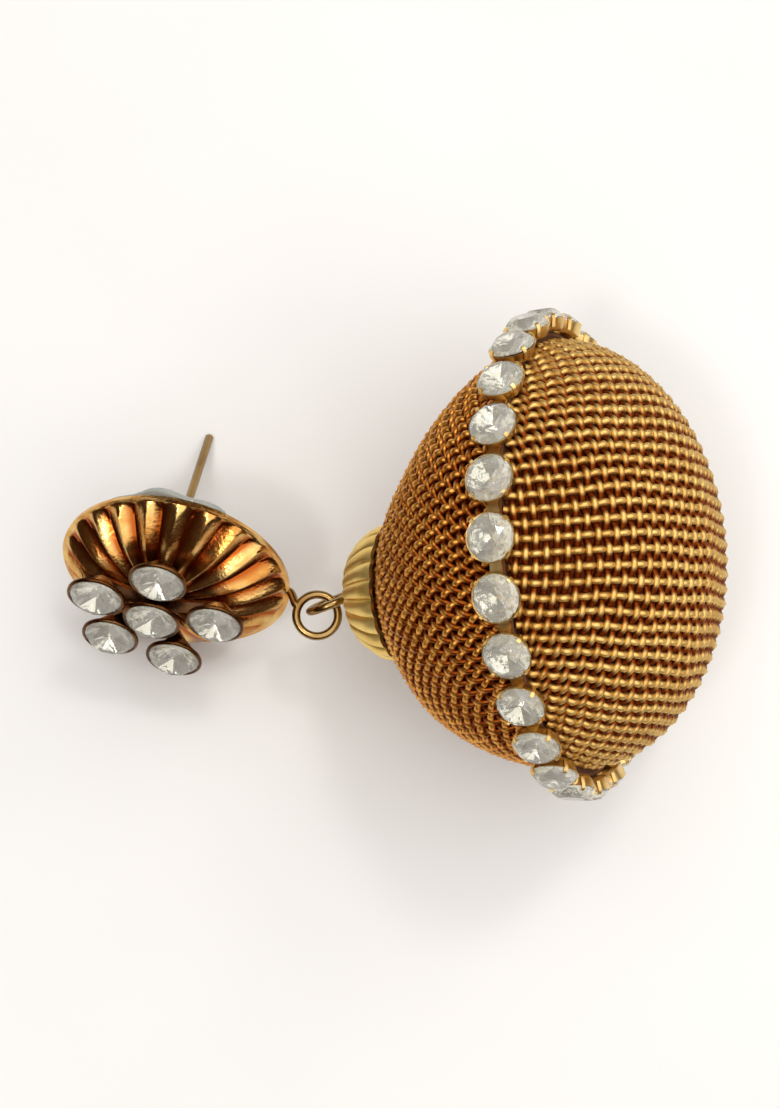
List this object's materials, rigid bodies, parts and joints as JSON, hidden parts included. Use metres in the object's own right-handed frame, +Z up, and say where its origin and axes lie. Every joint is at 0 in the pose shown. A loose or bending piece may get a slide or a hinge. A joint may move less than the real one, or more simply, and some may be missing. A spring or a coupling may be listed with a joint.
{
  "type": "ball drop earring",
  "caption": "Ball drop earring lying on a surface: a ball in gold wire cloth with a belt of clear stones, linked by wire loops to a fluted stud with a raised stone flower and a disc clutch.",
  "frame": {"origin": "on the surface that the earring lies on, under the middle of its box", "axes": "+Z up; +X from the stud to the ball's free half, the earring's longest extent; +Y the side that the post points to"},
  "size_m": [0.0482, 0.0344, 0.0319],
  "materials": {
    "wire_cloth": "bright woven gold-plated wire",
    "former": "dark red-brown, satin",
    "pale_gold": "polished pale gold plate",
    "dish_gold": "mirror-bright warm gold plate",
    "rhinestone": "clear cut glass with foiled back",
    "clear_plastic": "soft, clear, slightly grey-green"
  },
  "bodies": {
    "root": {"ball_former": "former", "dome_cloth": "wire_cloth", "bell_cloth": "wire_cloth", "bead_cap": "pale_gold", "eye_pin": "pale_gold", "stud_dish": "dish_gold", "flower_setting": "dish_gold", "ear_post": "pale_gold", "ear_clutch": "clear_plastic", "belt_1": "rhinestone", "belt_2": "rhinestone", "belt_3": "rhinestone", "belt_4": "rhinestone", "belt_5": "rhinestone", "belt_6": "rhinestone", "belt_7": "rhinestone", "belt_8": "rhinestone", "belt_9": "rhinestone", "flower_stone_1": "rhinestone", "flower_stone_2": "rhinestone", "flower_stone_3": "rhinestone", "flower_stone_4": "rhinestone", "flower_stone_5": "rhinestone", "flower_stone_6": "rhinestone"}
  },
  "joints": []
}
